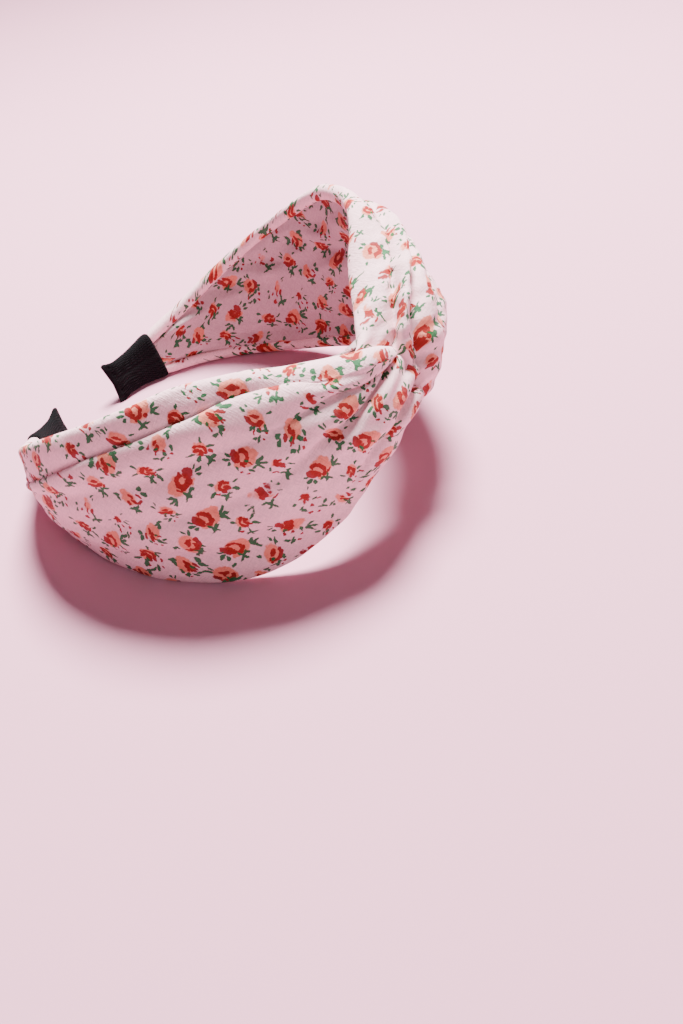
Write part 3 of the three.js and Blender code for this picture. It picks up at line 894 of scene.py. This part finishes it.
def lowest(tree, values):
    """The least of several values, or None if there are none."""
    least = None
    for value in values:
        least = value if least is None else tree.math("MINIMUM", least, value)
    return least


def inked(tree, at, motif, ink):
    """Below 1 where a motif has an ink, or None if it has none."""
    petals = [petal(tree, at, *each) for each in motif.get(ink, [])]
    arcs = [arc(tree, at, *each) for each in motif.get(ink + "_arcs", [])]
    return lowest(tree, petals + arcs)


def motif_cells(tree, cloth, cell, shift, stagger, sway, seed, ragged):
    """Places within scattered cells, jogged, turned and sized at random, and each cell's random number."""
    grid = tree.mapping(cloth, (shift[0] * cell[0], shift[1] * cell[1], 0), 0, (*cell, 1))
    x, y, _ = tree.split(grid)
    row = tree.math("FLOOR", y)
    if stagger:
        x = tree.math("MULTIPLY_ADD", row, stagger, x)
    column = tree.math("FLOOR", x)
    white = tree.node("TexWhiteNoise", {"Vector": tree.join(column, row, seed)})
    chance = tree.split(white.outputs["Color"])
    jog = tree.centred(white.outputs["Color"], (2 * sway, 2 * sway, 2 * sway))
    local_x = tree.math("MULTIPLY_ADD", tree.math("FRACT", x), cell[0], -cell[0] / 2)
    local_y = tree.math("MULTIPLY_ADD", tree.math("FRACT", y), cell[1], -cell[1] / 2)
    flip = tree.math("SIGN", tree.math("SUBTRACT", chance[2], 0.45))
    local = tree.vector("ADD", tree.join(tree.math("MULTIPLY", local_x, flip), local_y), jog)
    turn, size = tree.range(chance[0], 0, 1, -0.7, 0.7), tree.range(chance[1], 0, 1, 0.86, 1.04)
    turned = tree.node("VectorRotate", {"Vector": local, "Angle": turn}, rotation_type="Z_AXIS")
    return tree.vector("ADD", tree.scaled(turned.outputs[0], size), ragged), white.outputs["Value"]


def ink_outlines(tree, cloth):
    """For each ink, a value that is below 1 inside its motifs."""
    wander = tree.centred(tree.noise(cloth, 0.035, 1.0, "Color"), (WANDER, WANDER, 0))
    loose = tree.mapping(tree.vector("ADD", cloth, wander), turn=7)
    ragged = tree.centred(tree.noise(cloth, 0.75, 2.0, "Color"), (RAGGED, RAGGED, 0))
    layers = [
        (motif_cells(tree, loose, *cells, ragged), rare, rarer, commoner)
        for *cells, rare, rarer, commoner in PRINT_LAYERS]
    found = {ink: [] for ink in INKS}
    for (at, kind), rare, rarer, commoner in layers:
        choice = tree.math("GREATER_THAN", kind, rare)
        for ink in INKS:
            if ink in commoner:
                pair = inked(tree, at, rarer, ink), inked(tree, at, commoner, ink)
                found[ink].append(tree.choose(choice, *pair))
    return {ink: lowest(tree, values) for ink, values in found.items()}


def crepe(tree, cloth):
    """Two crossed sets of threads, each broken up so that it reads as crepe."""
    warp = tree.noise(tree.mapping(cloth, turn=THREAD_TURN, scale=(THREAD_LENGTH, WARP_WIDTH, 1)), 1.0)
    weft = tree.noise(tree.mapping(cloth, turn=THREAD_TURN - 90, scale=(THREAD_LENGTH, WEFT_WIDTH, 1)), 1.0)
    return tree.math("ADD", warp, weft)


def printed_cloth(name, base, shade, sheen):
    """A fine crepe weave with scattered roses, buds and sprigs. shade is how dark the inks are mixed; below
    1 it is painted shade.
    """
    tree = Tree(name)
    cloth = tree.cloth()
    outlines = ink_outlines(tree, cloth)
    patchy = tree.noise(cloth, 0.5, 3.0)
    mottle = tree.range(tree.noise(cloth, 0.06, 3.0), 0.3, 0.7, 0.955, 1.03)
    colour = tree.scaled(base, mottle)
    for ink, (dark, light, spread, cover) in INKS.items():
        dark, light = (tuple(shade * part for part in each) for each in (dark, light))
        inside = tree.range(outlines[ink], spread + INK_EDGE, spread - INK_EDGE)
        colour = tree.mix(tree.math("MULTIPLY", inside, cover), colour, tree.mix(patchy, dark, light))
    # The weave also darkens the colour where its threads lie low and lightens it where they stand high:
    # painted shade and painted light.
    weave = crepe(tree, cloth)
    tree.shader.inputs["Sheen Roughness"].default_value = 0.4
    return tree.finish(
        color=tree.scaled(colour, tree.range(weave, 0.75, 1.25, 0.86, 1.07)),
        roughness=tree.range(weave, 0.7, 1.3, 0.72, 0.58),
        normal=tree.bump(weave, 0.6, 0.0004),
        specular=0.12,
        sheen=sheen)


def black_knit(name):
    """Ribbed black knit: rows of small loops in each rib, with painted highlights on its high spots."""
    tree = Tree(name)
    cloth = tree.cloth()
    x, y, _ = tree.split(cloth)
    slant = tree.math("MULTIPLY", tree.math("PINGPONG", y, RIB_WIDTH / 2), 0.9)
    loops = tree.math("SINE", tree.math("MULTIPLY", tree.math("ADD", x, slant), math.tau / LOOP_LENGTH))
    ribs = tree.math("COSINE", tree.math("MULTIPLY", y, math.tau / RIB_WIDTH))
    fuzz = tree.noise(cloth, 3.5, 3.0)
    fuzzy_ribs = tree.math("MULTIPLY_ADD", ribs, 0.5, fuzz)
    height = tree.math("ADD", tree.math("MULTIPLY", loops, 0.35), fuzzy_ribs)
    return tree.finish(
        # Lighter where the knit stands high and darker in its hollows: painted highlight and painted shade.
        color=tree.mix(tree.range(height, 0.0, 1.3), (0.0016, 0.0014, 0.0018), (0.0095, 0.0085, 0.0105)),
        roughness=tree.range(fuzz, 0.3, 0.7, 0.8, 0.95),
        normal=tree.bump(height, 0.5, 0.0004),
        specular=0.08,
        sheen=0.01)


def open_foam(name):
    """Cream foam with fine open pores."""
    tree = Tree(name)
    solid = tree.solid()
    cells = tree.node("TexVoronoi", {"Vector": solid, "Scale": PORES_PER_METRE})
    return tree.finish(
        color=tree.mix(tree.noise(solid, 120, 3.0), (0.80, 0.75, 0.64), (0.90, 0.87, 0.79)),
        roughness=0.95,
        normal=tree.bump(cells.outputs["Distance"], 0.6, 0.0006))


def moulded_plastic(name):
    """Off-white plastic with flow streaks and a fine grain."""
    tree = Tree(name)
    solid = tree.solid()
    grain = tree.noise(solid, 900, 3.0)
    streaks = tree.noise(tree.mapping(solid, scale=(0.02, 0.02, 0.004)), 1.0)
    return tree.finish(
        color=tree.mix(streaks, (0.60, 0.59, 0.56), (0.68, 0.67, 0.64)),
        roughness=tree.range(grain, 0.3, 0.7, 0.32, 0.46),
        normal=tree.bump(grain, 0.15, 0.0002))


def spun_thread(name):
    """Pink thread with slanting plies."""
    tree = Tree(name)
    x, y, _ = tree.split(tree.cloth())
    plies = tree.math("SINE", tree.math("MULTIPLY", tree.math("ADD", x, y), math.tau / PLY_LENGTH))
    return tree.finish(
        # The colour follows the plies: lighter on their crests and darker in the grooves between them,
        # painted light and painted shade.
        color=tree.mix(tree.range(plies, -1, 1), (0.55, 0.28, 0.34), (0.80, 0.52, 0.58)),
        roughness=0.6,
        normal=tree.bump(plies, 0.5, 0.0002))


def pale_paper(name):
    """Pale pink backdrop paper with a faint fibre."""
    tree = Tree(name)
    solid = tree.solid()
    return tree.finish(
        color=tree.mix(tree.noise(solid, 3.0), (0.66, 0.31, 0.43), (0.69, 0.33, 0.45)),
        roughness=0.9,
        normal=tree.bump(tree.noise(solid, 700, 4.0), 0.08, 0.0002),
        specular=0.15)


# ------------ the pieces

# How thick each cloth is
WRAP_THICKNESS = 0.45
LINING_THICKNESS = 0.4

print_cloth = printed_cloth("printed_pink_crepe", (0.93, 0.57, 0.63), shade=1.0, sheen=0.02)
# The lining is the same print with a darker base colour and darker inks: painted shade for the inside of
# the hoop.
lining_cloth = printed_cloth("printed_pink_lining", (0.50, 0.33, 0.355), shade=0.72, sheen=0.01)
knit = black_knit("black_rib_knit")
sponge = open_foam("open_foam")
plastic = moulded_plastic("moulded_strip")
thread = spun_thread("spun_thread")

for name, side, plan in (("left", -1, near_wrap), ("right", 1, far_wrap)):
    arm_body = f"{name}_arm"

    wrap = make_wrap(f"wrap_cloth_{name}", side, *plan(), print_cloth)
    thicken(wrap, WRAP_THICKNESS)
    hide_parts(f"fabric_wrap_{name}", f"knot_hook_{name}")
    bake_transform(wrap)

    lining = make_lining(f"lining_cloth_{name}", side, lining_cloth)
    thicken(lining, LINING_THICKNESS)
    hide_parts(f"lining_{name}", *(["lining_crown"] if side < 0 else []))
    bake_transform(lining)

    pad = make_pad(f"foam_pad_{name}", side, sponge)
    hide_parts(f"sponge_pad_{name}")
    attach(pad, arm_body)

    sleeve = make_sleeve(f"knit_sleeve_{name}", side, knit)
    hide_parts(f"tip_sleeve_{name}")
    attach(sleeve, arm_body)

for strand in make_tack("knot_tack", thread):
    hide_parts("knot_tack_thread")
    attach(strand, "crown")

for node in ("hoop_crown", "hoop_arm_left", "hoop_arm_right"):
    mesh = frame["nodes"][node].data
    mesh.materials.clear()
    mesh.materials.append(plastic)

# ------------ camera, floor and light

# The photograph's view in the hoop's own frame: degrees, then millimetres
CAMERA_AZIMUTH, CAMERA_ELEVATION, CAMERA_ROLL = 51.8, 28.31, -25.64
CAMERA_DISTANCE = 340.0
AIM_RIGHT, AIM_UP = 37.93, -44.98
SENSOR_WIDTH, FOCAL_LENGTH = 36, 35.2617

# In metres and watts, from the middle of the floor
LIGHT_TARGET = Vector((0, 0, 0.04))
LIGHTS = {
    "key": dict(position=(-0.12, 0.43, 0.90), size=0.34, power=66, color=(1, 0.98, 0.96)),
    "fill": dict(position=(0.8, -0.75, 0.7), size=1.0, power=4.5, color=(1, 0.98, 0.97)),
}
AMBIENT_COLOR, AMBIENT_STRENGTH = (1, 0.92, 0.95, 1), 0.10
FLOOR_REACH = 3.0


def add_to_scene(name, data):
    obj = bpy.data.objects.new(name, data)
    bpy.context.scene.collection.objects.link(obj)
    return obj


def make_camera():
    """The photograph's view, set in the hoop's own frame."""
    azimuth, elevation, roll = np.radians([CAMERA_AZIMUTH, CAMERA_ELEVATION, CAMERA_ROLL])
    back = np.array([
        math.cos(azimuth) * math.cos(elevation),
        -math.sin(azimuth) * math.cos(elevation),
        math.sin(elevation)])
    level_right = unit(np.cross([0, 0, 1], back))
    level_up = np.cross(back, level_right)
    right = math.cos(roll) * level_right + math.sin(roll) * level_up
    up = -math.sin(roll) * level_right + math.cos(roll) * level_up
    target = np.array([-ARM_RADIUS, 0, 0]) + right * AIM_RIGHT + up * AIM_UP
    data = bpy.data.cameras.new("camera")
    data.sensor_width = SENSOR_WIDTH
    data.lens = FOCAL_LENGTH
    data.clip_start = 0.01
    camera = add_to_scene("camera", data)
    matrix = np.eye(4)
    matrix[:3, :3] = np.stack([right, up, back], axis=0).dot(AXES).T
    matrix[:3, 3] = to_row(target + back * CAMERA_DISTANCE)
    camera.matrix_world = Matrix(matrix.tolist())
    bpy.context.scene.camera = camera


def make_floor(material):
    mesh = bpy.data.meshes.new("floor")
    corners = [(x * FLOOR_REACH, y * FLOOR_REACH, 0) for x, y in ((-1, -1), (1, -1), (1, 1), (-1, 1))]
    mesh.from_pydata(corners, [], [(0, 1, 2, 3)])
    mesh.materials.append(material)
    add_to_scene("floor", mesh)


def area_light(name, position, size, power, color):
    data = bpy.data.lights.new(name, "AREA")
    data.shape = "DISK"
    data.size = size
    data.energy = power
    data.color = color
    light = add_to_scene(name, data)
    aim = (LIGHT_TARGET - Vector(position)).to_track_quat("-Z", "Y")
    light.matrix_world = Matrix.Translation(position) @ aim.to_matrix().to_4x4()


def ambient_light(color, strength):
    world = bpy.data.worlds.new("studio")
    world.use_nodes = True
    background = world.node_tree.nodes["Background"]
    background.inputs["Color"].default_value = color
    background.inputs["Strength"].default_value = strength
    bpy.context.scene.world = world


make_camera()
make_floor(pale_paper("pale_floor"))
for name, settings in LIGHTS.items():
    area_light(name, **settings)
ambient_light(AMBIENT_COLOR, AMBIENT_STRENGTH)
